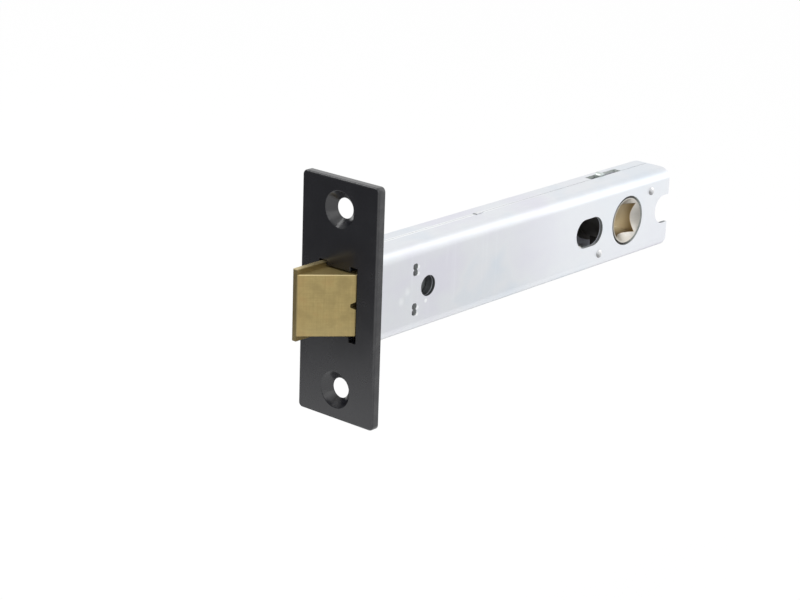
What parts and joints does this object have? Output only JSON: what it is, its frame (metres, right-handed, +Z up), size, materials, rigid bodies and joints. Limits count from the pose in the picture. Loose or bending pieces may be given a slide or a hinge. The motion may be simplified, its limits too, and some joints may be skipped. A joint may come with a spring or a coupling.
{
  "type": "tubular door latch",
  "caption": "Tubular door latch: bevelled sprung bolt through a countersunk front plate, a long folded case behind it and a turning follower with a square hole that draws the bolt in.",
  "frame": {"origin": "centre of the front plate's outer face, which lies flush with the edge of the door", "axes": "+X into the door along the case, +Y across the door's thickness towards the bolt's flat side, +Z up"},
  "size_m": [0.1367, 0.0242, 0.06],
  "materials": {
    "black_coat": "fine powder coat, satin black",
    "zinc_sheet": "bright zinc plated sheet",
    "satin_brass": "satin brass",
    "dark_steel": "dark oiled steel",
    "cast_zinc": "plain casting",
    "spring_wire": "drawn spring wire",
    "rivet_steel": "plated, set cold",
    "follower_metal": "pale bronze, satin"
  },
  "bodies": {
    "case_body": {"front_plate": "black_coat", "case": "zinc_sheet", "bolt_guide": "cast_zinc", "spring_seat": "zinc_sheet", "bolt_spring": "spring_wire", "case_rivet_front": "rivet_steel", "case_rivet_rear": "rivet_steel"},
    "bolt_body": {"latch_bolt": "satin_brass", "bolt_tail": "dark_steel", "spring_washer": "zinc_sheet", "draw_fork": "zinc_sheet", "tail_rivet": "rivet_steel"},
    "follower_body": {"follower": "follower_metal"}
  },
  "joints": [
    {"name": "bolt_slide", "type": "slide", "parent": "case_body", "child": "bolt_body", "axis": [1, 0, 0], "range_m": [0, 0.0097], "stiffness_N_per_m": 900, "springref_m": -0.01, "deforming": ["bolt_spring"]},
    {"name": "follower_turn", "type": "hinge", "parent": "case_body", "child": "follower_body", "pos_m": [0.108, 0, 0], "axis": [0, 1, 0], "range_deg": [0, 57]}
  ],
  "couplings": [
    {"joint": "follower_turn", "follows": "bolt_slide", "rad_per_m": 102.55}
  ]
}
